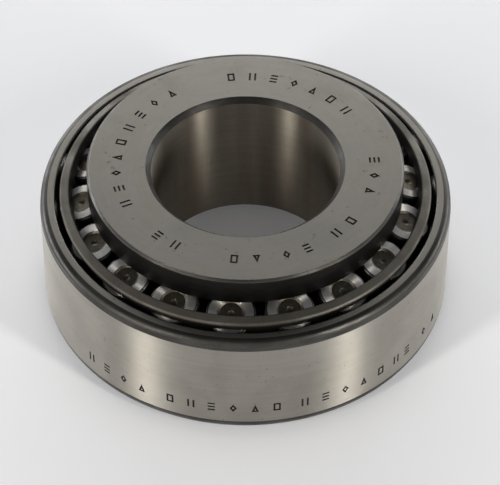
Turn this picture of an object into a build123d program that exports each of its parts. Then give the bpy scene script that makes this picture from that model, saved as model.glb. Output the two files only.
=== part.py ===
from build123d import *
import os
from math import asin, atan, cos, degrees, pi, radians, sin, tan

# Single-row tapered roller bearing, resting on the back face of its cup.
# Origin: on the bearing axis, in the plane of the cup's back face. +Z runs along the axis towards the
# cone's back face. Millimetres and degrees throughout.
#
# The cup raceway, the cone raceway and every roller's flank are cones that share one apex on the axis
# below the bearing, which is what lets the rollers roll without sliding.

# ---- Driving sizes: cone (inner ring) ----
bore_diameter = 33.338
cone_wall = 8.410            # bore to raceway, at the raceway's large end
cone_width = 27.783
cone_setback = 1.587         # cone's front face, above the cup's back face
small_end_land = 5.70        # cone's front face to the small end of its raceway
large_rib_height = 2.90      # rib's rim above the raceway's large end
small_rib_height = 1.40      # rib's rim above the raceway's small end
bore_chamfer = 0.90
rib_rim_chamfer = 0.40       # outer edge of the back face
rib_inner_chamfer = 0.80     # rib's rim, on the rollers' side
small_rib_round = 0.60
undercut_radius = 0.50       # grinding reliefs between raceway and ribs

# ---- Driving sizes: cup (outer ring) ----
cup_angle = 20.0             # half-angle of the cup raceway
cup_wall = 2.605             # raceway to outside, at the cup's front face
cup_width = 23.020
back_corner_radius = 2.80
front_corner_radius = 1.25
front_relief_depth = 0.08    # the turned corner lies this far under the ground outside
front_relief_length = 1.95   # from the front face to the ground outside
relief_ramp_length = 0.30
mouth_round = 0.40           # both inner edges of the raceway

# ---- Driving sizes: rollers ----
roller_count = 18
roller_diameter = 8.70       # at the large end, square to the flank
roller_setback = 1.43        # large end of the flank, below the cup's front face
roller_phase = 5.2           # polar angle of the first roller
roller_edge_round = 0.40
recess_depth = 0.35          # dished centre of the large end
recess_floor_inset = 0.45    # recess wall, measured along the end face
end_land = 1.50              # ground ring between the edge round and the recess
recess_edge_round = 0.15
dimple_radius = 0.60
dimple_depth = 0.35

# ---- Driving sizes: cage ----
cage_thickness = 1.90
cage_ring_width = 1.78       # large-end ring, from pocket end to edge
cage_small_reach = 3.60      # small-end pocket end to the bend's outer corner
cage_edge_round = 0.55
cage_inner_edge_round = 0.25
bend_inner_radius = 0.60
pocket_corner_round = 0.70

# ---- Clearances ----
running_clearance = 0.03     # roller to each raceway and to the large rib
small_rib_float = 0.40       # roller's small end to the small rib
cage_cup_clearance = 1.03
cage_rib_clearance = 0.40
pocket_side_clearance = 0.25
pocket_end_clearance = 0.30

# ---- Stamped control marks: plain geometric shapes, no lettering ----
mark_height = 1.90
mark_width = 1.30
mark_stroke = 0.34
mark_depth = 0.15
face_mark_margin = 5.20      # from the large rib's rim to the middle of the marks
face_mark_pitch = 9.8        # degrees from mark to mark
face_mark_groups = [(204.5, 9), (96.6, 7), (3.3, 3), (323.3, 2), (297.9, 2), (275.0, 2), (238.3, 2)]
side_mark_level = 6.30       # above the cup's back face
side_mark_pitch = 6.0
side_mark_groups = [(222.4, 4), (249.0, 2), (260.7, 4), (286.5, 6), (321.2, 1), (329.7, 2)]

# ---- Sizes that follow ----
bore_radius = bore_diameter / 2
raceway_radius = bore_radius + cone_wall
alpha = radians(cup_angle)
beta = atan(sin(alpha) / (raceway_radius / roller_diameter + cos(alpha))) / 2    # roller's half-taper
theta = alpha - beta                                                            # roller axis
gamma = alpha - 2 * beta                                                        # cone raceway
large_end = roller_diameter / 2 / sin(beta)     # apex to the roller's large end, along its axis
apex_height = cup_width - roller_setback - large_end / cos(beta) * cos(alpha)
mouth_radius = large_end / cos(beta) * sin(alpha) + roller_setback * tan(alpha)
outer_radius = mouth_radius + cup_wall
cone_back = cone_setback + cone_width
small_end = (cone_setback + small_end_land - apex_height) / cos(gamma) * cos(beta)
large_rib_radius = raceway_radius + large_rib_height
small_rib_radius = small_end / cos(beta) * sin(gamma) + small_rib_height


def end_plane_height(distance, radius):
    """Height, at a radius, of the plane square to a roller's axis at a distance from the apex."""
    return apex_height + (distance - radius * sin(theta)) / cos(theta)


def cone_track(distance):
    """Point of the cone raceway, at a distance from the apex measured along the roller's axis."""
    slant = distance / cos(beta)
    return slant * sin(gamma), apex_height + slant * cos(gamma)


def cup_line(slant, inset):
    """Point on a line parallel to the cup raceway and inset square from it."""
    radius = slant * sin(alpha) - inset * cos(alpha)
    return radius, apex_height + slant * cos(alpha) + inset * sin(alpha)


def cup_slant(distance, inset):
    """Where such a line crosses the plane square to a roller's axis at a distance from the apex."""
    return (distance - inset * sin(beta)) / cos(beta)


def turned(outline, relief_centres=()):
    """Solid of revolution about Z from corners given as (radius, height, corner radius).

    A round-bottomed relief groove is cut into the section at each of the relief centres.
    """
    points = [(radius, height) for radius, height, corner in outline]
    corners = [corner for radius, height, corner in outline]
    section = make_face(Plane.XZ * FilletPolyline(*points, radius=corners, close=True))
    for radius, height in relief_centres:
        section -= Plane.XZ * Pos(radius, height) * Circle(undercut_radius)
    return revolve(section, Axis.Z)


def mark_sketches():
    """The stamped shapes: twin bars, three dashes, a diamond, a triangle and a square."""
    bar = Rectangle(mark_stroke, mark_height)
    dash = Rectangle(mark_width, mark_stroke)
    bar_offset = (mark_width - mark_stroke) / 2
    dash_offset = (mark_height - mark_stroke) / 2
    twin_bars = Pos(-bar_offset, 0) * bar + Pos(bar_offset, 0) * bar
    dashes = dash + Pos(0, dash_offset) * dash + Pos(0, -dash_offset) * dash
    side = mark_width / 2
    top = mark_height / 2
    diamond = Polygon((-side, 0), (0, -top), (side, 0), (0, top))
    triangle = Polygon((-side, -top), (side, -top), (0, top))
    outlines = [diamond, triangle, Rectangle(mark_width, mark_height)]
    framed = [outline - offset(outline, -mark_stroke) for outline in outlines]
    return [twin_bars, dashes] + framed


def mark_angles(groups, pitch):
    """Polar angles of every mark, group by group, from (first angle, count)."""
    return [first + pitch * step for first, count in groups for step in range(count)]


def make_cup():
    back_radius = mouth_radius - cup_width * tan(alpha)
    relief_radius = outer_radius - front_relief_depth
    ground_top = cup_width - front_relief_length
    return turned([
        (back_radius, 0, mouth_round),
        (outer_radius, 0, back_corner_radius),
        (outer_radius, ground_top, 0),
        (relief_radius, ground_top + relief_ramp_length, 0),
        (relief_radius, cup_width, front_corner_radius),
        (mouth_radius, cup_width, mouth_round),
    ])


def make_cone():
    rib_face = large_end + running_clearance
    small_face = small_end - small_rib_float
    rib_foot = cone_track(rib_face)
    small_foot = cone_track(small_face)
    rim_bottom = end_plane_height(rib_face, large_rib_radius) + rib_inner_chamfer
    chamfer_radius = large_rib_radius - rib_inner_chamfer
    return turned([
        (bore_radius + bore_chamfer, cone_setback, 0),
        (small_rib_radius, cone_setback, small_rib_round),
        (small_rib_radius, end_plane_height(small_face, small_rib_radius), 0),
        (*small_foot, 0),
        (*rib_foot, 0),
        (chamfer_radius, end_plane_height(rib_face, chamfer_radius), 0),
        (large_rib_radius, rim_bottom, 0),
        (large_rib_radius, cone_back - rib_rim_chamfer, 0),
        (large_rib_radius - rib_rim_chamfer, cone_back, 0),
        (bore_radius + bore_chamfer, cone_back, 0),
        (bore_radius, cone_back - bore_chamfer, 0),
        (bore_radius, cone_setback + bore_chamfer, 0),
    ], relief_centres=[rib_foot, small_foot])


def make_roller():
    """Roller standing on its own axis, with the shared apex at the origin.

    Its large end is ground to a sphere about the apex, which a flat end square to the axis cannot match:
    the large rib's face is a cone, and the two then keep their clearance all the way across.
    """
    small_radius = small_end * tan(beta) - running_clearance
    large_radius = large_end * tan(beta) - running_clearance
    recess_radius = large_radius - roller_edge_round - end_land
    floor_radius = recess_radius - recess_floor_inset
    floor_height = large_end - recess_depth
    body = turned([
        (0, small_end, 0),
        (small_radius, small_end, roller_edge_round),
        (large_radius, large_end, roller_edge_round),
        (recess_radius, large_end, recess_edge_round),
        (floor_radius, floor_height, recess_edge_round),
        (dimple_radius, floor_height, 0),
        (0, floor_height - dimple_depth, 0),
    ])
    return body & Sphere(large_end)


def make_pocket_cutter():
    """Enlarged roller that opens one pocket, with the shared apex at the origin."""
    small_cut = small_end - pocket_end_clearance
    large_cut = large_end + pocket_end_clearance
    return turned([
        (0, small_cut, 0),
        (small_cut * tan(beta) + pocket_side_clearance, small_cut, pocket_corner_round),
        (large_cut * tan(beta) + pocket_side_clearance, large_cut, pocket_corner_round),
        (0, large_cut, 0),
    ])


def at_roller(index, shape):
    """Moves a shape from the roller's own frame to the place of roller number index."""
    turn = roller_phase + index * 360 / roller_count
    return Pos(0, 0, apex_height) * Rot(0, 0, turn) * Rot(0, degrees(theta), 0) * shape


def make_cage():
    outer_inset = cage_cup_clearance
    inner_inset = cage_cup_clearance + cage_thickness
    edge_slant = cup_slant(large_end + pocket_end_clearance, outer_inset) + cage_ring_width
    bend_slant = cup_slant(small_end - pocket_end_clearance, outer_inset) - cage_small_reach
    bend_radius, flange_bottom = cup_line(bend_slant, outer_inset)
    flange_top = flange_bottom + cage_thickness
    inner_slant = (flange_top - apex_height - inner_inset * sin(alpha)) / cos(alpha)
    flange_radius = small_rib_radius + cage_rib_clearance
    shell = turned([
        (flange_radius, flange_bottom, cage_inner_edge_round),
        (bend_radius, flange_bottom, bend_inner_radius + cage_thickness),
        (*cup_line(edge_slant, outer_inset), cage_edge_round),
        (*cup_line(edge_slant, inner_inset), cage_inner_edge_round),
        (*cup_line(inner_slant, inner_inset), bend_inner_radius),
        (flange_radius, flange_top, cage_inner_edge_round),
    ])
    cutter = make_pocket_cutter()
    return shell - [at_roller(index, cutter) for index in range(roller_count)]


def stamp_face(cone):
    """Stamps the ring of marks into the cone's back face."""
    shapes = mark_sketches()
    radius = large_rib_radius - face_mark_margin
    cutters = []
    for order, angle in enumerate(mark_angles(face_mark_groups, -face_mark_pitch)):
        place = Rot(0, 0, angle) * Pos(radius, 0, cone_back - mark_depth) * Rot(0, 0, -90)
        cutters.append(extrude(place * shapes[order % len(shapes)], 2 * mark_depth))
    return cone - cutters


def stamp_side(cup):
    """Stamps the band of marks into the cup's outside."""
    shapes = mark_sketches()
    cutters = []
    for order, angle in enumerate(mark_angles(side_mark_groups, side_mark_pitch)):
        place = Rot(0, 0, angle) * Pos(outer_radius - mark_depth, 0, side_mark_level) * Rot(90, 0, 90)
        cutters.append(extrude(place * shapes[order % len(shapes)], 2 * mark_depth))
    return cup - cutters


nodes = {"cup": stamp_side(make_cup()), "cone": stamp_face(make_cone()), "cage": make_cage()}
roller = make_roller()
for index in range(roller_count):
    nodes[f"roller_{index + 1:02d}"] = at_roller(index, roller)

os.makedirs("parts", exist_ok=True)
for name, shape in nodes.items():
    export_step(shape, f"parts/{name}.step")

print("outer diameter", round(2 * outer_radius, 4), "bearing width", round(cone_back, 3))
print("apex height", round(apex_height, 4), "roller axis", round(degrees(theta), 4), "degrees")
print("roller taper", round(degrees(beta), 4), "cone raceway", round(degrees(gamma), 4), "degrees")
print("roller length", round(large_end - small_end, 3), "pitch radius", round(large_end * sin(theta), 3))
print("rib rim radius", round(large_rib_radius, 3), "mouth radius", round(mouth_radius, 3))
print("gap between rollers", round(2 * large_end * (asin(sin(theta) * sin(pi / roller_count)) - beta), 3))
print("cage turns per cone turn", round(sin(gamma) / (sin(gamma) + sin(alpha)), 6))
spin_ratio = -sin(alpha) * sin(gamma) / (sin(beta) * (sin(alpha) + sin(gamma)))
print("roller turns in its pocket per cone turn", round(spin_ratio, 6))
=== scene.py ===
# %% [markdown]
# # A tapered roller bearing, piece by piece
#
# The bearing has four kinds of piece: an outer ring (the cup), an inner ring (the cone), a pressed
# steel cage and eighteen tapered rollers. The frame that is loaded first gives each of them its place
# and the joint that it turns on. Everything below makes the surfaces that are seen.

# %% Load the frame
from math import atan, atan2, ceil, cos, degrees, pi, radians, sin, sqrt, tan

import bmesh
import bpy
from mathutils import Matrix, Vector


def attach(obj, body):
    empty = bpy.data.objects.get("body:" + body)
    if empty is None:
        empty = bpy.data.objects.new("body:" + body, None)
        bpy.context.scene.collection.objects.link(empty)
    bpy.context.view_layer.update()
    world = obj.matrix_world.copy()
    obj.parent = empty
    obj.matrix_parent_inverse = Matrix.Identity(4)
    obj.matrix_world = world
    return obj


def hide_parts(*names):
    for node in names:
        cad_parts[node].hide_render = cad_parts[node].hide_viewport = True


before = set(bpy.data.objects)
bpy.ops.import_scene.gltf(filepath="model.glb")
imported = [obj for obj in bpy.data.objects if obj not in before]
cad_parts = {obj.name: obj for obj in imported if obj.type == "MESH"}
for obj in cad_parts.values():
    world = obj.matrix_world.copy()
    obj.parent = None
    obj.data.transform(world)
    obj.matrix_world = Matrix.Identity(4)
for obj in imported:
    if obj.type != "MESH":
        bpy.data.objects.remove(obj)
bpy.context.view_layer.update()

MM = 0.001

# %% [markdown]
# ## The sizes that every piece shares
#
# A tapered bearing only rolls without sliding when all of its cones meet in one point on the axis,
# the apex. The cup's raceway, the cone's raceway and the flanks of the rollers are worked out from
# that point, in millimetres, with the same numbers as the solid model. alpha is the half-angle of the
# cup's raceway, gamma that of the cone's, beta that of a roller, and theta is how far a roller leans.

# %% Driving sizes
BORE = 16.669                # radius of the cone's bore
CUP_WIDTH = 23.020
CONE_WIDTH = 27.783
CONE_FOOT = 1.587            # the cone's front face above the cup's back face
ROLLERS = 18
ROLLER_DIAMETER = 8.70       # at the large end, before the running gap
FIRST_ROLLER = radians(5.2)
RUNNING_GAP = 0.03           # between a roller and what it rolls on
CONE_WALL = 8.410            # bore to raceway at the large end
CUP_WALL = 2.605             # raceway to outside at the mouth
SETBACK = 1.43               # the rollers' large ends below the cup's front face
SMALL_RIB_WIDTH = 5.70
RIB_HEIGHT = 2.90
SMALL_RIB_HEIGHT = 1.40

# %% Sizes worked out from the apex
alpha = radians(20.0)
RACEWAY = BORE + CONE_WALL
beta = atan(sin(alpha) / (RACEWAY / ROLLER_DIAMETER + cos(alpha))) / 2
theta = alpha - beta
gamma = alpha - 2 * beta
large_end = ROLLER_DIAMETER / 2 / sin(beta)
apex = CUP_WIDTH - SETBACK - large_end / cos(beta) * cos(alpha)
small_end = (CONE_FOOT + SMALL_RIB_WIDTH - apex) / cos(gamma) * cos(beta)
mouth = large_end / cos(beta) * sin(alpha) + SETBACK * tan(alpha)
OUTSIDE = mouth + CUP_WALL
RIB_RIM = RACEWAY + RIB_HEIGHT
SMALL_RIB = small_end / cos(beta) * sin(gamma) + SMALL_RIB_HEIGHT
BACK_FACE = CONE_FOOT + CONE_WIDTH


def end_plane(distance, radius):
    """Height, at a radius, of the plane square to a roller's axis at a distance from the apex."""
    return apex + (distance - radius * sin(theta)) / cos(theta)


def cone_track(distance):
    """Point of the cone's raceway at a distance from the apex along the roller's axis."""
    slant = distance / cos(beta)
    return slant * sin(gamma), apex + slant * cos(gamma)


def cup_line(slant, inset):
    """Point on a line parallel to the cup's raceway and inset square from it."""
    radius = slant * sin(alpha) - inset * cos(alpha)
    return radius, apex + slant * cos(alpha) + inset * sin(alpha)


print("outside diameter", round(2 * OUTSIDE, 3))
print("roller axis leans", round(degrees(theta), 2), "degrees")

# %% [markdown]
# ## A lathe for fine surfaces
#
# Rings and rollers are turned parts, so they are made the way a lathe makes them: half of the section
# is drawn as a line of corners, each corner gets its small rounding, and the line is spun about Z.
# A spun mesh can be as fine as the eye needs, and every stretch of the line can have its own finish,
# because on a real ring some faces are ground bright and others keep the dark skin of the furnace.


# %% Round the corners of a section
def rounded(corners, per_quarter=8):
    """Points and finishes of a section.

    A corner is (radius, height, rounding, finish of the stretch that follows, finish of the rounding).
    A negative rounding is a round-bottomed relief groove centred on the corner.
    """
    points, finishes = [], []
    for place, (radius, height, rounding, finish, edge) in enumerate(corners):
        corner = Vector((radius, height))
        before = Vector(corners[place - 1][:2]) - corner
        after = Vector(corners[(place + 1) % len(corners)][:2]) - corner
        before.normalize()
        after.normalize()
        turn = before.angle(after)
        if abs(rounding) < 1e-6 or turn > pi - 1e-3:
            points.append(corner)
            finishes.append(finish)
            continue
        if rounding > 0:
            reach = rounding / tan(turn / 2)
            centre = corner + (before + after).normalized() * (rounding / sin(turn / 2))
            start, end = corner + before * reach, corner + after * reach
        else:
            centre = corner
            start, end = corner + before * -rounding, corner + after * -rounding
        first, last = start - centre, end - centre
        sweep = atan2(first.x * last.y - first.y * last.x, first.dot(last))
        if rounding < 0:
            sweep = sweep - 2 * pi if sweep > 0 else sweep + 2 * pi
        steps = max(2, ceil(abs(sweep) / (pi / 2) * per_quarter))
        for step in range(steps + 1):
            turned = Matrix.Rotation(sweep * step / steps, 2) @ first
            points.append(centre + turned)
            finishes.append(edge if step < steps else finish)
    return points, finishes


# %% Spin a section into a mesh
def lathe(name, corners, materials, segments=360, closed=True):
    """Spins a section about Z. A point on the axis closes the mesh with a fan of triangles."""
    points, finishes = rounded(corners)
    titles = list(materials)
    mesh = bmesh.new()
    rings = []
    for point in points:
        if point.x < 1e-6:
            rings.append([mesh.verts.new((0, 0, point.y * MM))] * segments)
            continue
        ring = []
        for step in range(segments):
            turn = 2 * pi * step / segments
            spot = (point.x * cos(turn) * MM, point.x * sin(turn) * MM, point.y * MM)
            ring.append(mesh.verts.new(spot))
        rings.append(ring)
    for place in range(len(rings) if closed else len(rings) - 1):
        lower, upper = rings[place], rings[(place + 1) % len(rings)]
        for step in range(segments):
            nearby = (step + 1) % segments
            loop = list(dict.fromkeys((lower[step], lower[nearby], upper[nearby], upper[step])))
            if len(loop) < 3:
                continue
            face = mesh.faces.new(loop)
            face.smooth = True
            face.material_index = titles.index(finishes[place])
    bmesh.ops.recalc_face_normals(mesh, faces=mesh.faces)
    data = bpy.data.meshes.new(name)
    mesh.to_mesh(data)
    mesh.free()
    for title in titles:
        data.materials.append(materials[title])
    piece = bpy.data.objects.new(name, data)
    bpy.context.collection.objects.link(piece)
    return piece


# %% Cutting and shading helpers
def settle(piece):
    """Applies a piece's modifiers to its mesh."""
    graph = bpy.context.evaluated_depsgraph_get()
    made = bpy.data.meshes.new_from_object(piece.evaluated_get(graph))
    piece.modifiers.clear()
    piece.data = made


def cut(piece, cutter):
    """Cuts one mesh out of another. The new walls keep the cutter's finish."""
    change = piece.modifiers.new("cut", "BOOLEAN")
    change.operation = "DIFFERENCE"
    change.solver = "EXACT"
    change.material_mode = "TRANSFER"
    change.object = cutter
    settle(piece)
    bpy.data.objects.remove(cutter)


def shade(piece, sharp=32):
    """Smooth shading that keeps flat faces flat up to their rounded edges."""
    for face in piece.data.polygons:
        face.use_smooth = True
    piece.data.set_sharp_from_angle(angle=radians(sharp))
    weights = piece.modifiers.new("weights", "WEIGHTED_NORMAL")
    weights.keep_sharp = True
    weights.weight = 90
    settle(piece)
    print(piece.name, "has", len(piece.data.polygons), "faces")


# %% [markdown]
# ## What steel looks like close up
#
# Ground steel is covered with fine lines that run the way the wheel ran: around the ring on its
# outside and in its bore, and in circles on its faces. Two small node groups make the effects that
# several finishes share: the grinding lines, and the cloudy stain of old oil with its fine specks.


# %% Node helpers
def node(tree, kind, **settings):
    made = tree.nodes.new(kind)
    for key, value in settings.items():
        setattr(made, key, value)
    return made


def feed(tree, socket, value):
    """Links an output to a socket, or sets the socket's own value."""
    if isinstance(value, bpy.types.NodeSocket):
        tree.links.new(value, socket)
    else:
        socket.default_value = value


def maths(tree, operation, first, second=0.0, clamp=False):
    made = node(tree, "ShaderNodeMath", operation=operation, use_clamp=clamp)
    feed(tree, made.inputs[0], first)
    feed(tree, made.inputs[1], second)
    return made.outputs[0]


def remap(tree, value, low, high, to_low=0.0, to_high=1.0):
    made = node(tree, "ShaderNodeMapRange", interpolation_type="SMOOTHSTEP")
    for place, number in enumerate((value, low, high, to_low, to_high)):
        feed(tree, made.inputs[place], number)
    return made.outputs[0]


def noise(tree, vector, scale, detail=3.0, rough=0.5):
    made = node(tree, "ShaderNodeTexNoise")
    feed(tree, made.inputs["Vector"], vector)
    made.inputs["Scale"].default_value = scale
    made.inputs["Detail"].default_value = detail
    made.inputs["Roughness"].default_value = rough
    return made.outputs["Fac"]


def blend(tree, amount, first, second):
    made = node(tree, "ShaderNodeMix", data_type="RGBA")
    feed(tree, made.inputs[0], amount)
    feed(tree, made.inputs[6], first)
    feed(tree, made.inputs[7], second)
    return made.outputs[2]


def new_group(title, inputs, outputs):
    """An empty node group with named sockets, and the nodes that stand for them."""
    tree = bpy.data.node_groups.new(title, "ShaderNodeTree")
    for name, kind, start in inputs:
        socket = tree.interface.new_socket(name, in_out="INPUT", socket_type="NodeSocket" + kind)
        if start is not None:
            socket.default_value = start
    for name in outputs:
        tree.interface.new_socket(name, in_out="OUTPUT", socket_type="NodeSocketFloat")
    return tree, tree.nodes.new("NodeGroupInput"), tree.nodes.new("NodeGroupOutput")


# %% Group: grinding lines
grind, given, result = new_group(
    "Grinding lines",
    [("Position", "Vector", None), ("On a face", "Float", 0.0), ("Lines per metre", "Float", 9000.0),
     ("Arc length", "Float", 4.0)],
    ["Height", "Streak"],
)
parts = node(grind, "ShaderNodeSeparateXYZ")
grind.links.new(given.outputs["Position"], parts.inputs[0])
across_square = maths(grind, "ADD", maths(grind, "POWER", parts.outputs[0], 2.0),
                      maths(grind, "POWER", parts.outputs[1], 2.0))
radius_now = maths(grind, "MAXIMUM", maths(grind, "SQRT", across_square), 1e-6)
across = maths(grind, "ADD", maths(grind, "MULTIPLY", radius_now, given.outputs["On a face"]),
               maths(grind, "MULTIPLY", parts.outputs[2],
                     maths(grind, "SUBTRACT", 1.0, given.outputs["On a face"])))
around = [maths(grind, "MULTIPLY", maths(grind, "DIVIDE", parts.outputs[axis], radius_now),
                given.outputs["Arc length"]) for axis in (0, 1)]
lines = node(grind, "ShaderNodeCombineXYZ")
for axis in (0, 1):
    grind.links.new(around[axis], lines.inputs[axis])
grind.links.new(maths(grind, "MULTIPLY", across, given.outputs["Lines per metre"]), lines.inputs[2])
fine = noise(grind, lines.outputs[0], 1.0, 4.0, 0.65)
broad_lines = node(grind, "ShaderNodeVectorMath", operation="MULTIPLY")
grind.links.new(lines.outputs[0], broad_lines.inputs[0])
broad_lines.inputs[1].default_value = (0.6, 0.6, 0.12)
broad = noise(grind, broad_lines.outputs[0], 1.0, 3.0, 0.55)
grind.links.new(fine, result.inputs["Height"])
fine_share = maths(grind, "MULTIPLY", fine, 0.55)
broad_share = maths(grind, "MULTIPLY", broad, 0.45)
both = maths(grind, "ADD", fine_share, broad_share)
grind.links.new(remap(grind, both, 0.34, 0.66), result.inputs["Streak"])
print("grinding lines:", len(grind.nodes), "nodes")

# %% Group: stain and specks
stain, given, result = new_group(
    "Oil stain",
    [("Position", "Vector", None), ("Cloud size", "Float", 120.0), ("Speck size", "Float", 1500.0)],
    ["Cloud", "Specks"],
)
warped = node(stain, "ShaderNodeVectorMath", operation="MULTIPLY_ADD")
warp = node(stain, "ShaderNodeTexNoise")
warp.inputs["Scale"].default_value = 90.0
stain.links.new(given.outputs["Position"], warp.inputs["Vector"])
stain.links.new(warp.outputs["Color"], warped.inputs[0])
warped.inputs[1].default_value = (0.006, 0.006, 0.006)
stain.links.new(given.outputs["Position"], warped.inputs[2])
cloud = node(stain, "ShaderNodeTexNoise")
stain.links.new(warped.outputs[0], cloud.inputs["Vector"])
stain.links.new(given.outputs["Cloud size"], cloud.inputs["Scale"])
cloud.inputs["Detail"].default_value = 5.0
stain.links.new(remap(stain, cloud.outputs["Fac"], 0.36, 0.68), result.inputs["Cloud"])
specks = node(stain, "ShaderNodeTexNoise")
stain.links.new(given.outputs["Position"], specks.inputs["Vector"])
stain.links.new(given.outputs["Speck size"], specks.inputs["Scale"])
specks.inputs["Detail"].default_value = 2.0
stain.links.new(remap(stain, specks.outputs["Fac"], 0.66, 0.76), result.inputs["Specks"])
print("oil stain:", len(stain.nodes), "nodes")


# %% [markdown]
# ## One recipe for every steel finish
#
# Each finish is its own material with its own shader, and they share one recipe: a base colour that
# the streaks, clouds and specks vary, a roughness that they vary too, and a bump from the lines.
# Fine parallel lines spread a highlight across themselves. The shader's anisotropy does that, with
# its tangent taken around the Z axis. A stain that ran down a wall is stretched along Z.

# %% Steel recipe
BROWN_STAIN = (0.10, 0.085, 0.07, 1)
DARK_STAIN = (0.03, 0.026, 0.022, 1)
SPECK = (0.02, 0.018, 0.016, 1)
LINE_DEPTH = 2e-6


def steel(name, bright, dark, roughness, spread=0.08, on_face=0.0, lines=9000.0, arc=4.0, bump=0.25,
          aniso=0.0, stain_colour=BROWN_STAIN, cloud=0.35, cloud_size=120.0, stain_stretch=1.0,
          specks=0.5, speck_size=1500.0):
    """A steel finish. bright and dark are the ends of its colour, spread is how its roughness varies."""
    made = bpy.data.materials.new(name)
    made.use_nodes = True
    tree = made.node_tree
    shader = tree.nodes["Principled BSDF"]
    place = node(tree, "ShaderNodeTexCoord").outputs["Object"]
    grain = node(tree, "ShaderNodeGroup", node_tree=grind)
    feed(tree, grain.inputs["Position"], place)
    grain.inputs["On a face"].default_value = on_face
    grain.inputs["Lines per metre"].default_value = lines
    grain.inputs["Arc length"].default_value = arc
    stretched = node(tree, "ShaderNodeVectorMath", operation="MULTIPLY")
    feed(tree, stretched.inputs[0], place)
    stretched.inputs[1].default_value = (1, 1, 1 / stain_stretch)
    dirt = node(tree, "ShaderNodeGroup", node_tree=stain)
    feed(tree, dirt.inputs["Position"], stretched.outputs[0])
    dirt.inputs["Cloud size"].default_value = cloud_size
    dirt.inputs["Speck size"].default_value = speck_size
    colour = blend(tree, grain.outputs["Streak"], dark, bright)
    colour = blend(tree, maths(tree, "MULTIPLY", dirt.outputs["Cloud"], cloud), colour, stain_colour)
    colour = blend(tree, maths(tree, "MULTIPLY", dirt.outputs["Specks"], specks), colour, SPECK)
    feed(tree, shader.inputs["Base Color"], colour)
    dirt_rough = maths(tree, "MULTIPLY", dirt.outputs["Cloud"], spread)
    line_rough = maths(tree, "MULTIPLY", grain.outputs["Streak"], -spread / 3)
    rough = maths(tree, "ADD", roughness - spread / 2, dirt_rough)
    rough = maths(tree, "ADD", rough, line_rough, clamp=True)
    feed(tree, shader.inputs["Roughness"], rough)
    shader.inputs["Metallic"].default_value = 1.0
    if aniso:
        shader.inputs["Anisotropic"].default_value = aniso
        shader.inputs["Anisotropic Rotation"].default_value = 0.25
        tangent = node(tree, "ShaderNodeTangent", direction_type="RADIAL", axis="Z")
        feed(tree, shader.inputs["Tangent"], tangent.outputs[0])
    relief = node(tree, "ShaderNodeBump")
    relief.inputs["Strength"].default_value = bump
    relief.inputs["Distance"].default_value = LINE_DEPTH
    feed(tree, relief.inputs["Height"], grain.outputs["Height"])
    feed(tree, shader.inputs["Normal"], relief.outputs["Normal"])
    print("finish:", name)
    return made


def grey(level, warmth=0.0):
    """A neutral or slightly warm grey, as linear light."""
    return (level * (1 + warmth), level * (1 + warmth * 0.3), level * (1 - warmth), 1)


# %% Finishes of the rings
face_ground = steel("Ring face ground steel", grey(0.265, 0.08), grey(0.24, 0.10), 0.36,
                    on_face=1.0, lines=5000.0, arc=5.0, bump=0.12,
                    cloud=0.22, specks=0.35, speck_size=900.0)
outside_ground = steel("Ring outside ground steel", grey(0.39, 0.08), grey(0.36, 0.10), 0.43,
                       spread=0.02, lines=7000.0, arc=1.5, bump=0.05, aniso=0.96,
                       cloud=0.14, specks=0.3)
bore_ground = steel("Bore ground steel", grey(0.32, 0.12), grey(0.27, 0.15), 0.40,
                    spread=0.02, lines=7000.0, arc=1.5, bump=0.03, aniso=0.96,
                    stain_colour=(0.17, 0.125, 0.095, 1), cloud=0.55, cloud_size=160.0,
                    stain_stretch=8.0, specks=0.2)
raceway_ground = steel("Raceway honed steel", grey(0.50, 0.02), grey(0.42, 0.03), 0.22,
                       lines=12000.0, aniso=0.4, cloud=0.2, specks=0.1)
furnace_dark = steel("Furnace dark steel", grey(0.095, 0.06), grey(0.06, 0.07), 0.42,
                     spread=0.16, lines=2500.0, arc=8.0, stain_colour=DARK_STAIN, specks=0.2)
rim_dark = steel("Rib rim dark steel", grey(0.05, 0.05), grey(0.03, 0.06), 0.45,
                 lines=2500.0, arc=8.0, stain_colour=(0.02, 0.017, 0.014, 1), specks=0.2)
edge_worn = steel("Worn edge steel", grey(0.26, 0.04), grey(0.15, 0.06), 0.30,
                  lines=3000.0, cloud=0.3)
mark_floor = steel("Stamped mark steel", grey(0.04, 0.02), grey(0.02, 0.02), 0.55, cloud=0.3)

# %% [markdown]
# ## Stamped control marks
#
# Rings are stamped with small marks on the wide face and around the outside. Plain shapes stand for
# them here: twin bars, three dashes, and the outlines of a diamond, a triangle and a square. Each is
# made as a little block that is cut out of the ring, so the mark has real walls and a real floor.

# %% Mark shapes
MARK_TALL, MARK_WIDE, MARK_STROKE, MARK_DEPTH = 1.90, 1.30, 0.34, 0.15


def box_outline(wide, tall, across=0.0, up=0.0):
    return [(across - wide / 2, up - tall / 2), (across + wide / 2, up - tall / 2),
            (across + wide / 2, up + tall / 2), (across - wide / 2, up + tall / 2)]


def inset(outline, distance):
    """The same convex outline with every side moved inwards."""
    moved = []
    for place, corner in enumerate(outline):
        here = Vector(corner)
        before = (here - Vector(outline[place - 1])).normalized()
        after = (Vector(outline[(place + 1) % len(outline)]) - here).normalized()
        side = Vector((-before.y, before.x)) + Vector((-after.y, after.x))
        half = sqrt((1 + before.dot(after)) / 2)
        moved.append(here + side.normalized() * (distance / half))
    return moved


def framed(outline):
    return [(outline, inset(outline, MARK_STROKE))]


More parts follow.
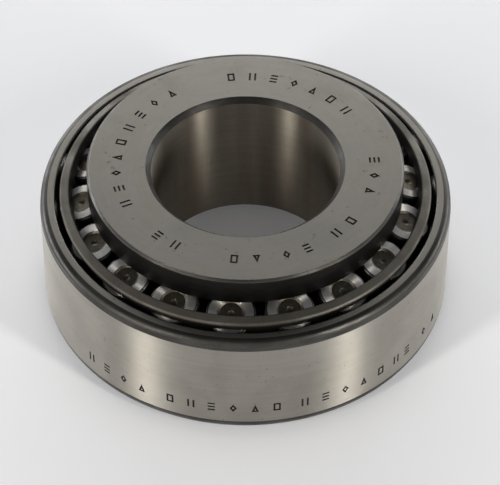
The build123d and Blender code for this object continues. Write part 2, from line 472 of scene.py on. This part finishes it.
half_wide, half_tall = MARK_WIDE / 2, MARK_TALL / 2
bar_place = (MARK_WIDE - MARK_STROKE) / 2
dash_place = (MARK_TALL - MARK_STROKE) / 2
MARKS = [
    [(box_outline(MARK_STROKE, MARK_TALL, across=side * bar_place), None) for side in (-1, 1)],
    [(box_outline(MARK_WIDE, MARK_STROKE, up=step * dash_place), None) for step in (-1, 0, 1)],
    framed([(-half_wide, 0), (0, -half_tall), (half_wide, 0), (0, half_tall)]),
    framed([(-half_wide, -half_tall), (half_wide, -half_tall), (0, half_tall)]),
    framed(box_outline(MARK_WIDE, MARK_TALL)),
]
print("mark shapes:", len(MARKS))


# %% Blocks that cut the marks
def mark_blocks(name, groups, pitch, place_mark):
    """Every mark of a ring as one mesh. place_mark(angle, across, up, depth) gives a point in metres."""
    mesh = bmesh.new()
    order = 0
    for first, count in groups:
        for step in range(count):
            angle = radians(first + pitch * step)
            for outer, inner in MARKS[order % len(MARKS)]:
                loops = [outer] if inner is None else [outer, inner]
                levels = []
                for depth in (-MARK_DEPTH, MARK_DEPTH):
                    levels.append([[mesh.verts.new(place_mark(angle, x, y, depth)) for x, y in loop]
                                   for loop in loops])
                for loop in range(len(loops)):
                    low, high = levels[0][loop], levels[1][loop]
                    for corner in range(len(low)):
                        nearby = (corner + 1) % len(low)
                        mesh.faces.new([low[corner], low[nearby], high[nearby], high[corner]])
                for level in levels:
                    if inner is None:
                        mesh.faces.new(level[0])
                        continue
                    around, within = level
                    for corner in range(len(outer)):
                        nearby = (corner + 1) % len(outer)
                        mesh.faces.new([around[corner], around[nearby], within[nearby], within[corner]])
            order += 1
    bmesh.ops.recalc_face_normals(mesh, faces=mesh.faces)
    data = bpy.data.meshes.new(name)
    mesh.to_mesh(data)
    mesh.free()
    data.materials.append(mark_floor)
    blocks = bpy.data.objects.new(name, data)
    bpy.context.collection.objects.link(blocks)
    print(name, "holds", order, "marks")
    return blocks


# %% [markdown]
# ## The cup
#
# The cup's outside and its two faces are ground. The corners between them are not: they keep a dark
# skin, and the front corner lies a hair under the ground outside, which shows as a fine line. Its
# raceway is honed. The small roundings at its mouth are worn bright.

# %% Turn the cup
BACK_CORNER = 2.80
FRONT_CORNER = 1.25
MOUTH_ROUNDING = 0.40
BAND_DROP = 0.08             # how far the dark front band lies under the ground outside
BAND_TOP = CUP_WIDTH - 1.65
BAND_EDGE = CUP_WIDTH - 1.95
cup_finishes = {"face": face_ground, "outside": outside_ground, "raceway": raceway_ground,
                "dark": furnace_dark, "worn": edge_worn, "mark": mark_floor}
back_mouth = mouth - CUP_WIDTH * tan(alpha)
cup = lathe("cup_turned", [
    (back_mouth, 0, MOUTH_ROUNDING, "face", "worn"),
    (OUTSIDE, 0, BACK_CORNER, "outside", "dark"),
    (OUTSIDE, BAND_EDGE, 0.03, "dark", "worn"),
    (OUTSIDE - BAND_DROP, BAND_TOP, 0.05, "dark", "dark"),
    (OUTSIDE - BAND_DROP, CUP_WIDTH, FRONT_CORNER, "face", "dark"),
    (mouth, CUP_WIDTH, MOUTH_ROUNDING, "raceway", "worn"),
], cup_finishes)

# %% Stamp the cup
OUTSIDE_MARK_HEIGHT = 6.30
OUTSIDE_MARK_PITCH = 6.0     # degrees
# first angle of each group in degrees, and how many marks it holds
OUTSIDE_GROUPS = [(222.4, 4), (249.0, 2), (260.7, 4), (286.5, 6), (321.2, 1), (329.7, 2)]


def on_outside(angle, across, up, depth):
    """A point of the band around the outside: across runs around the ring, up along its axis."""
    flat = Vector((OUTSIDE + depth, across, OUTSIDE_MARK_HEIGHT + up)) * MM
    return Matrix.Rotation(angle, 3, "Z") @ flat


cut(cup, mark_blocks("cup_marks", OUTSIDE_GROUPS, OUTSIDE_MARK_PITCH, on_outside))
shade(cup)
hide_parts("cup")
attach(cup, "cup")

# %% [markdown]
# ## The cone
#
# The wide back face and the bore are ground. The rim of the large rib and the chamfer at the top of the
# bore keep a very dark skin. Beside the ribs, two small relief grooves give the grinding wheel room to
# run out. They belong to the section itself, so the lathe turns them with everything else.

# %% Turn the cone
BORE_CHAMFER = 0.90
RIM_CHAMFER = 0.40
RIB_CHAMFER = 0.80
SMALL_RIB_CORNER = 0.60
GROOVE = 0.50                # radius of a relief groove
SMALL_END_GAP = 0.40         # between the rollers' small ends and the small rib
SOFT, CRISP = 0.10, 0.08     # roundings of edges
cone_finishes = {"face": face_ground, "bore": bore_ground, "raceway": raceway_ground,
                 "dark": furnace_dark, "rim": rim_dark, "worn": edge_worn, "mark": mark_floor}
rib_face = large_end + RUNNING_GAP
small_face = small_end - SMALL_END_GAP
chamfer_foot = RIB_RIM - RIB_CHAMFER
cone = lathe("cone_turned", [
    (BORE + BORE_CHAMFER, CONE_FOOT, CRISP, "face", "worn"),
    (SMALL_RIB, CONE_FOOT, SMALL_RIB_CORNER, "dark", "dark"),
    (SMALL_RIB, end_plane(small_face, SMALL_RIB), CRISP, "dark", "worn"),
    (*cone_track(small_face), -GROOVE, "raceway", "dark"),
    (*cone_track(rib_face), -GROOVE, "raceway", "dark"),
    (chamfer_foot, end_plane(rib_face, chamfer_foot), SOFT, "dark", "worn"),
    (RIB_RIM, end_plane(rib_face, RIB_RIM) + RIB_CHAMFER, SOFT, "rim", "rim"),
    (RIB_RIM, BACK_FACE - RIM_CHAMFER, SOFT, "dark", "dark"),
    (RIB_RIM - RIM_CHAMFER, BACK_FACE, SOFT, "face", "worn"),
    (BORE + BORE_CHAMFER, BACK_FACE, CRISP, "rim", "rim"),
    (BORE, BACK_FACE - BORE_CHAMFER, SOFT, "bore", "rim"),
    (BORE, CONE_FOOT + BORE_CHAMFER, SOFT, "dark", "worn"),
], cone_finishes)

# %% Stamp the cone
FACE_MARK_INSET = 5.20       # from the rib's rim to the ring of marks
FACE_MARK_PITCH = -9.8       # degrees
FACE_GROUPS = [(204.5, 9), (96.6, 7), (3.3, 3), (323.3, 2), (297.9, 2), (275.0, 2), (238.3, 2)]


def on_back_face(angle, across, up, depth):
    """A point of the ring of marks on the back face: up points away from the bore."""
    flat = Vector((RIB_RIM - FACE_MARK_INSET + up, -across, BACK_FACE + depth)) * MM
    return Matrix.Rotation(angle, 3, "Z") @ flat


cut(cone, mark_blocks("cone_marks", FACE_GROUPS, FACE_MARK_PITCH, on_back_face))
shade(cone)
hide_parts("cone")
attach(cone, "cone")

# %% [markdown]
# ## The rollers
#
# A roller is superfinished on its flank. Its large end is ground to a sphere about the apex, with a
# forged dish and a small centre mark left dark in its middle, and the rounding around it stays dark
# too. One roller is turned standing on its own axis, with the apex at its origin, and is then laid in
# its eighteen places. All share that one mesh. Each is turned differently about itself, so that the
# stains on two neighbours don't show the same side.

# %% Finishes of the rollers
roller_flank = steel("Roller superfinished steel", grey(0.56, 0.03), grey(0.48, 0.04), 0.27,
                     aniso=0.4, cloud=0.15, specks=0.15)
roller_end = steel("Roller end ground steel", grey(0.88, 0.03), grey(0.72, 0.05), 0.50,
                   on_face=1.0, aniso=0.95, cloud=0.3, specks=0.2)
roller_dish = steel("Roller forged dish", grey(0.17, 0.16), grey(0.09, 0.20), 0.46,
                    spread=0.14, on_face=1.0, lines=4000.0,
                    stain_colour=(0.03, 0.025, 0.02, 1), cloud=0.5, specks=0.3)

# %% Turn one roller
ROLLER_CORNER = 0.40
END_BAND = 1.50              # ground band between the rounding and the dish
DISH_SLOPE, DISH_DEPTH = 0.45, 0.35
CENTRE_MARK = 0.60           # radius, and it is as deep again as the dish
small_radius = small_end * tan(beta) - RUNNING_GAP
large_radius = large_end * tan(beta) - RUNNING_GAP
band_radius = large_radius - 1.0
dish_radius = large_radius - ROLLER_CORNER - END_BAND
floor_radius = dish_radius - DISH_SLOPE
floor_height = large_end - DISH_DEPTH
roller_finishes = {"flank": roller_flank, "end": roller_end, "dish": roller_dish,
                   "corner": furnace_dark}


def end_height(radius):
    """Height of the spherical large end at a radius from the roller's axis."""
    return sqrt(large_end ** 2 - radius ** 2)


roller_corners = [
    (0, small_end, 0, "end", "end"),
    (small_radius, small_end, ROLLER_CORNER, "flank", "flank"),
    (large_radius, end_height(large_radius), ROLLER_CORNER, "end", "corner"),
    (band_radius, end_height(band_radius), 0, "end", "end"),
    (dish_radius, end_height(dish_radius), 0.12, "dish", "end"),
    (floor_radius, floor_height, 0.15, "dish", "dish"),
    (CENTRE_MARK, floor_height, 0.05, "dish", "dish"),
    (0, floor_height - DISH_DEPTH, 0, "dish", "dish"),
]
pattern = lathe("roller_pattern", roller_corners, roller_finishes, segments=128, closed=False)
shade(pattern)

# %% Lay the rollers
OWN_TURN = 2.4               # radians from one roller to the next, about its own axis


def roller_seat(number):
    """Where a roller lies: from the apex, turned around the ring and leaning out by theta."""
    around_ring = Matrix.Rotation(FIRST_ROLLER + number * 2 * pi / ROLLERS, 4, "Z")
    return Matrix.Translation((0, 0, apex * MM)) @ around_ring @ Matrix.Rotation(theta, 4, "Y")


for number in range(ROLLERS):
    roller = bpy.data.objects.new(f"roller_{number + 1:02d}_turned", pattern.data)
    bpy.context.collection.objects.link(roller)
    roller.matrix_world = roller_seat(number) @ Matrix.Rotation(number * OWN_TURN, 4, "Z")
    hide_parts(f"roller_{number + 1:02d}")
    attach(roller, f"roller_{number + 1:02d}")
bpy.data.objects.remove(pattern)
print("rollers laid:", ROLLERS)

# %% [markdown]
# ## The cage
#
# The cage is pressed from sheet: a thin cone with a flange turned in at its small end and a pocket
# punched for every roller. It is turned as a shell first. The pockets are cut with an enlarged roller,
# so that the bars between them get the leaning sides that hold the rollers in.

# %% Finishes of the cage
cage_skin = steel("Cage pressed steel", grey(0.09, 0.08), grey(0.055, 0.09), 0.56,
                  spread=0.18, lines=1800.0, arc=10.0,
                  stain_colour=(0.03, 0.025, 0.02, 1), cloud=0.4, specks=0.35)
# The cut edges of the sheet, the upward top of the large ring among them, are painted lighter than the
# skin of the same steel: a painted highlight.
cage_edge_painted_light = steel("Cage edge painted lighter", grey(0.175, 0.10), grey(0.13, 0.12), 0.62,
                  spread=0.14, lines=2500.0, arc=8.0,
                  stain_colour=(0.035, 0.03, 0.025, 1), cloud=0.4, specks=0.3)
cage_cut = steel("Cage punched wall", grey(0.07, 0.05), grey(0.04, 0.06), 0.45,
                 lines=3000.0, cloud=0.3)

# %% Turn the cage
SHEET = 1.90
CAGE_GAP = 1.03              # between the cage and the cup's raceway
POCKET_END_GAP = 0.30        # beyond each end of a roller
LARGE_RING = 1.78            # from the pockets to the cage's large edge
SMALL_RING = 3.60            # from the pockets to the bend at the small end
FLANGE_GAP = 0.40            # between the flange and the small rib
INNER_BEND = 0.60
cage_finishes = {"skin": cage_skin, "edge": cage_edge_painted_light, "cut": cage_cut}


def cup_slant(distance, gap):
    """Where a line parallel to the cup's raceway crosses a plane square to a roller's axis."""
    return (distance - gap * sin(beta)) / cos(beta)


inner_gap = CAGE_GAP + SHEET
small_cut, large_cut = small_end - POCKET_END_GAP, large_end + POCKET_END_GAP
ring_edge = cup_slant(large_cut, CAGE_GAP) + LARGE_RING
bend_radius, flange_bottom = cup_line(cup_slant(small_cut, CAGE_GAP) - SMALL_RING, CAGE_GAP)
flange_top = flange_bottom + SHEET
inner_bend = (flange_top - apex - inner_gap * sin(alpha)) / cos(alpha)
flange_radius = SMALL_RIB + FLANGE_GAP
# The "edge" finish is the lighter painted highlight on the sheet's cut edges and their roundings.
cage = lathe("cage_pressed", [
    (flange_radius, flange_bottom, 0.25, "skin", "edge"),
    (bend_radius, flange_bottom, INNER_BEND + SHEET, "skin", "skin"),
    (*cup_line(ring_edge, CAGE_GAP), 0.55, "edge", "edge"),
    (*cup_line(ring_edge, inner_gap), 0.25, "skin", "edge"),
    (*cup_line(inner_bend, inner_gap), INNER_BEND, "skin", "skin"),
    (flange_radius, flange_top, 0.25, "edge", "edge"),
], cage_finishes)

# %% Punch the pockets
POCKET_SIDE_GAP = 0.25
POCKET_CORNER = 0.70
punch_corners = [
    (0, small_cut, 0, "cut", "cut"),
    (small_cut * tan(beta) + POCKET_SIDE_GAP, small_cut, POCKET_CORNER, "cut", "cut"),
    (large_cut * tan(beta) + POCKET_SIDE_GAP, large_cut, POCKET_CORNER, "cut", "cut"),
    (0, large_cut, 0, "cut", "cut"),
]
punch = lathe("punch", punch_corners, {"cut": cage_cut}, segments=72, closed=False)
punches = bmesh.new()
for number in range(ROLLERS):
    single = punch.data.copy()
    single.transform(roller_seat(number))
    punches.from_mesh(single)
    bpy.data.meshes.remove(single)
punches.to_mesh(punch.data)
punches.free()
cut(cage, punch)
shade(cage)
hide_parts("cage")
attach(cage, "cage")

# %% [markdown]
# ## The floor and the light
#
# The bearing lies on a plain pale board. The board glows a little in its own colour, which is painted
# light that keeps the bearing's shadow soft, and under the bearing that glow is dimmed, a painted
# shadow.
# Two tall, narrow lights at the left and right of the viewer draw the two bright upright bands
# on a ground ring. Broad panels stand low around it: low enough to light the ring's sides without
# washing out the wide face, which reflects the dark ceiling instead.

# %% Floor
BOARD_SIZE = 8.0
SHADE_FROM, SHADE_TO = 0.018, 0.050   # metres from the axis where the board's own light comes up
bpy.ops.mesh.primitive_grid_add(x_subdivisions=40, y_subdivisions=40, size=BOARD_SIZE,
                                location=(0, 0, 0))
floor = bpy.context.object
floor.name = "floor_board"
board = bpy.data.materials.new("Pale board")
board.use_nodes = True
tree = board.node_tree
shader = tree.nodes["Principled BSDF"]
place = node(tree, "ShaderNodeTexCoord").outputs["Object"]
mottle = noise(tree, place, 30.0, 2.0)
paint = blend(tree, mottle, (0.87, 0.875, 0.90, 1), (0.89, 0.895, 0.915, 1))
feed(tree, shader.inputs["Base Color"], paint)
shader.inputs["Roughness"].default_value = 0.6
shader.inputs["Specular IOR Level"].default_value = 0.2
# The board's emission is painted light. Within SHADE_TO of the axis it fades to a painted shadow under
# the bearing.
reach = node(tree, "ShaderNodeVectorMath", operation="LENGTH")
feed(tree, reach.inputs[0], place)
clear = remap(tree, reach.outputs["Value"], SHADE_FROM, SHADE_TO)
glow = blend(tree, clear, (0.46, 0.46, 0.47, 1), (0.98, 0.985, 1.0, 1))
feed(tree, shader.inputs["Emission Color"], glow)
shader.inputs["Emission Strength"].default_value = 0.17
floor.data.materials.append(board)
print("board is", BOARD_SIZE, "m wide")


# %% Lights
WARM, COOL = (1.0, 0.975, 0.92), (0.95, 0.97, 1.0)


def soft_light(name, azimuth, elevation, distance, wide, tall, power, colour=(1, 1, 1)):
    """A soft rectangular light. Azimuth 0 is the viewer's side, and 90 is to the viewer's right."""
    data = bpy.data.lights.new(name, "AREA")
    data.shape = "RECTANGLE"
    data.size, data.size_y = wide, tall
    data.energy = power
    data.color = colour
    made = bpy.data.objects.new(name, data)
    a, e = radians(azimuth), radians(elevation)
    back = Vector((sin(a) * cos(e), -cos(a) * cos(e), sin(e)))
    made.location = back * distance
    made.rotation_mode = "QUATERNION"
    made.rotation_quaternion = back.to_track_quat("Z", "Y")
    made.visible_camera = False
    bpy.context.collection.objects.link(made)
    print("light:", name)


soft_light("left_light", -49, 24, 1.3, 0.14, 0.9, 7.0, WARM)
soft_light("right_light", 50, 24, 1.3, 0.14, 0.9, 7.0, WARM)
soft_light("front_panel", 0, 28, 1.7, 1.4, 0.6, 2.0, (1.0, 0.99, 0.97))
soft_light("left_panel", -86, 10, 1.5, 0.9, 0.4, 3.0)
soft_light("right_panel", 86, 10, 1.5, 0.9, 0.4, 2.2)
soft_light("left_back_panel", -130, 11, 1.6, 1.5, 0.5, 11.0, COOL)
soft_light("right_back_panel", 130, 11, 1.6, 1.5, 0.5, 8.5, COOL)
soft_light("back_panel", 180, 28, 1.7, 1.8, 0.7, 11.5, (0.98, 0.99, 1.0))

# %% Dark ceiling
HAZE, CEILING = (0.42, 0.43, 0.45, 1), (0.08, 0.08, 0.085, 1)
world = bpy.data.worlds.new("studio")
bpy.context.scene.world = world
world.use_nodes = True
tree = world.node_tree
heading = node(tree, "ShaderNodeSeparateXYZ")
feed(tree, heading.inputs[0], node(tree, "ShaderNodeTexCoord").outputs["Generated"])
rise = remap(tree, heading.outputs[2], 0.05, 0.60)
feed(tree, tree.nodes["Background"].inputs["Color"], blend(tree, rise, HAZE, CEILING))
print("sky nodes:", len(tree.nodes))

# %% [markdown]
# ## The camera
#
# A long lens about half a metre away looks down at 46 degrees, as a small part is usually shown.

# %% Camera
LOOK_DOWN = radians(46.34)
STAND_OFF = 0.51876          # metres from the point looked at
lens = bpy.data.cameras.new("camera")
lens.sensor_width = 36.0
lens.lens = 206.4
camera = bpy.data.objects.new("camera", lens)
bpy.context.collection.objects.link(camera)
target = Vector((0.00081, 0.0, 0.00965))
back = Vector((0, -cos(LOOK_DOWN), sin(LOOK_DOWN)))
camera.location = target + back * STAND_OFF
camera.rotation_mode = "QUATERNION"
camera.rotation_quaternion = back.to_track_quat("Z", "Y")
lens.clip_start, lens.clip_end = 0.01, 20.0
bpy.context.scene.camera = camera
bpy.context.scene.view_settings.view_transform = "Standard"
print("camera looks down at", round(degrees(LOOK_DOWN), 2), "degrees")
